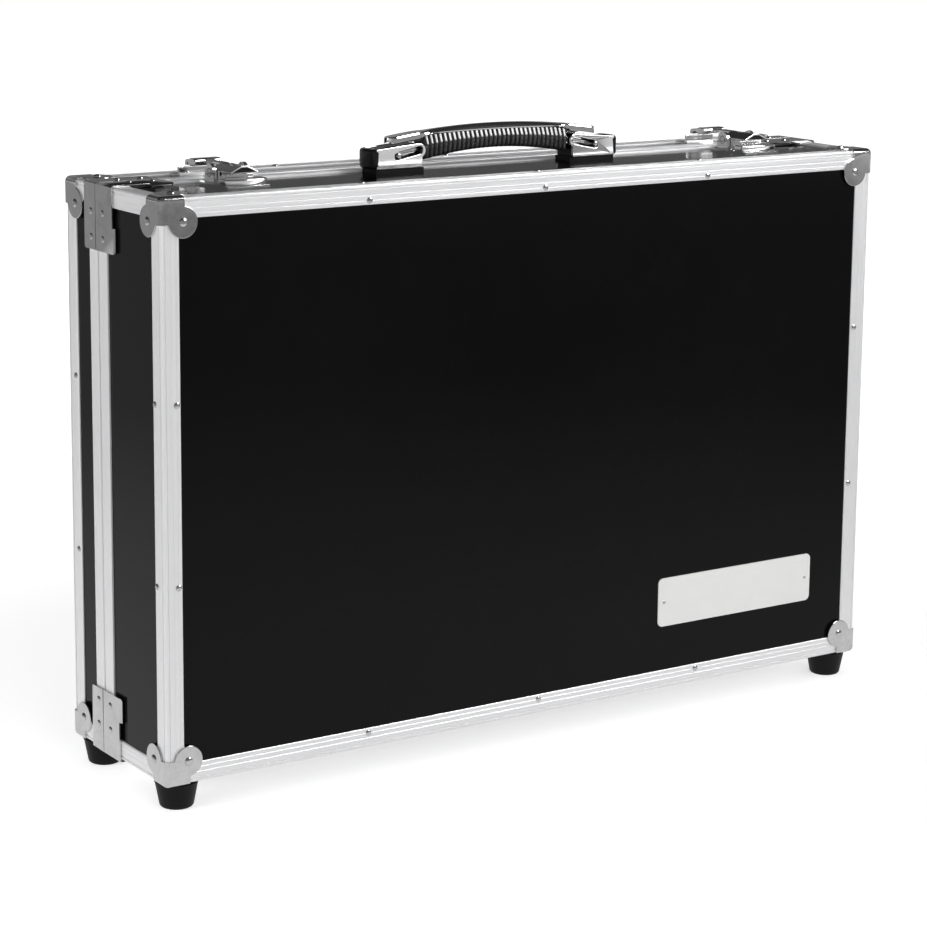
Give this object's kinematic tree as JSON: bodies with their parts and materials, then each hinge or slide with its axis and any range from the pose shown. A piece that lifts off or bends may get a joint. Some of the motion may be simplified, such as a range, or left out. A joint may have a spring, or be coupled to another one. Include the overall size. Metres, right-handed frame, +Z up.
{
  "type": "guitar pedal case",
  "caption": "Hard case for guitar pedals: deep body and hinged lid edged in aluminium, with draw latches, carry handle, steel corners and rubber feet.",
  "frame": {"origin": "on the floor, in the middle under the case as it stands on its four feet", "axes": "+Z up, +X along the long side (to the right seen from the front), -Y out of the front face that carries the name plate"},
  "size_m": [0.565, 0.133, 0.4102],
  "materials": {
    "laminate": "satin black laminate on plywood",
    "aluminium": "brushed natural anodised",
    "steel": "nickel plated pressing",
    "chrome": "polished chrome",
    "rubber": "matte black",
    "grip": "glossy ribbed black",
    "plate": "bare white",
    "deck": "stained plywood",
    "carpet": "loop carpet",
    "foam": "open cell foam"
  },
  "bodies": {
    "body": {"body_face_panel": "laminate", "body_walls": "laminate", "body_edge_frame": "aluminium", "body_tongue_profile": "aluminium", "body_corner_top_left": "steel", "body_corner_top_right": "steel", "body_corner_bottom_left": "steel", "body_corner_bottom_right": "steel", "body_split_bracket_top_left": "steel", "body_split_bracket_top_right": "steel", "body_split_bracket_bottom_left": "steel", "body_split_bracket_bottom_right": "steel", "body_foot_left": "rubber", "body_foot_right": "rubber", "name_plate": "plate", "pedal_deck": "deck", "deck_carpet": "carpet", "body_foam_lining": "foam", "handle_bracket_left": "chrome", "handle_bracket_right": "chrome", "handle_pad_left": "rubber", "handle_pad_right": "rubber", "latch_base_left": "chrome", "latch_base_right": "chrome", "hinge_body_leaf_left": "steel", "hinge_body_leaf_right": "steel", "hinge_pin_left": "steel", "hinge_pin_right": "steel"},
    "lid": {"lid_face_panel": "laminate", "lid_walls": "laminate", "lid_edge_frame": "aluminium", "lid_groove_profile": "aluminium", "lid_corner_top_left": "steel", "lid_corner_top_right": "steel", "lid_corner_bottom_left": "steel", "lid_corner_bottom_right": "steel", "lid_split_bracket_top_left": "steel", "lid_split_bracket_top_right": "steel", "lid_split_bracket_bottom_left": "steel", "lid_split_bracket_bottom_right": "steel", "lid_foot_left": "rubber", "lid_foot_right": "rubber", "lid_foam_pad": "foam", "latch_keeper_left": "chrome", "latch_keeper_right": "chrome", "hinge_lid_leaf_left": "steel", "hinge_lid_leaf_right": "steel"},
    "handle": {"handle_grip": "grip", "handle_cover_strip": "chrome"},
    "slider_left": {"handle_slider_left": "steel"},
    "slider_right": {"handle_slider_right": "steel"},
    "lever_left": {"latch_lever_left": "chrome", "latch_hook_pin_left": "steel"},
    "lever_right": {"latch_lever_right": "chrome", "latch_hook_pin_right": "steel"},
    "hook_left": {"latch_hook_left": "chrome"},
    "hook_right": {"latch_hook_right": "chrome"}
  },
  "joints": [
    {"name": "lid_hinge", "type": "hinge", "parent": "body", "child": "lid", "pos_m": [0, 0.02, 0.0144], "axis": [-1, 0, 0], "range_deg": [0, 110]},
    {"name": "left_latch_lever", "type": "hinge", "parent": "body", "child": "lever_left", "pos_m": [-0.204, -0.008, 0.3895], "axis": [-1, 0, 0], "range_deg": [-8, 90]},
    {"name": "left_latch_hook", "type": "hinge", "parent": "lever_left", "child": "hook_left", "pos_m": [-0.204, -0.018, 0.3895], "axis": [-1, 0, 0], "range_deg": [-103.5, 9.2]},
    {"name": "right_latch_lever", "type": "hinge", "parent": "body", "child": "lever_right", "pos_m": [0.204, -0.008, 0.3895], "axis": [-1, 0, 0], "range_deg": [-8, 90]},
    {"name": "right_latch_hook", "type": "hinge", "parent": "lever_right", "child": "hook_right", "pos_m": [0.204, -0.018, 0.3895], "axis": [-1, 0, 0], "range_deg": [-103.5, 9.2]},
    {"name": "handle_lift", "type": "slide", "parent": "body", "child": "handle", "axis": [0, 0, 1], "range_m": [0, 0.005]},
    {"name": "left_stud_slide", "type": "slide", "parent": "body", "child": "slider_left", "axis": [0.9817, 0, 0.1904], "range_m": [0, 0.01681]},
    {"name": "right_stud_slide", "type": "slide", "parent": "body", "child": "slider_right", "axis": [-0.9817, 0, 0.1904], "range_m": [0, 0.01681]}
  ],
  "couplings": [
    {"joint": "left_latch_hook", "follows": "left_latch_lever", "ratio": -1.15},
    {"joint": "right_latch_hook", "follows": "right_latch_lever", "ratio": -1.15},
    {"joint": "left_stud_slide", "follows": "handle_lift", "ratio": 3.3614},
    {"joint": "right_stud_slide", "follows": "handle_lift", "ratio": 3.3614}
  ]
}
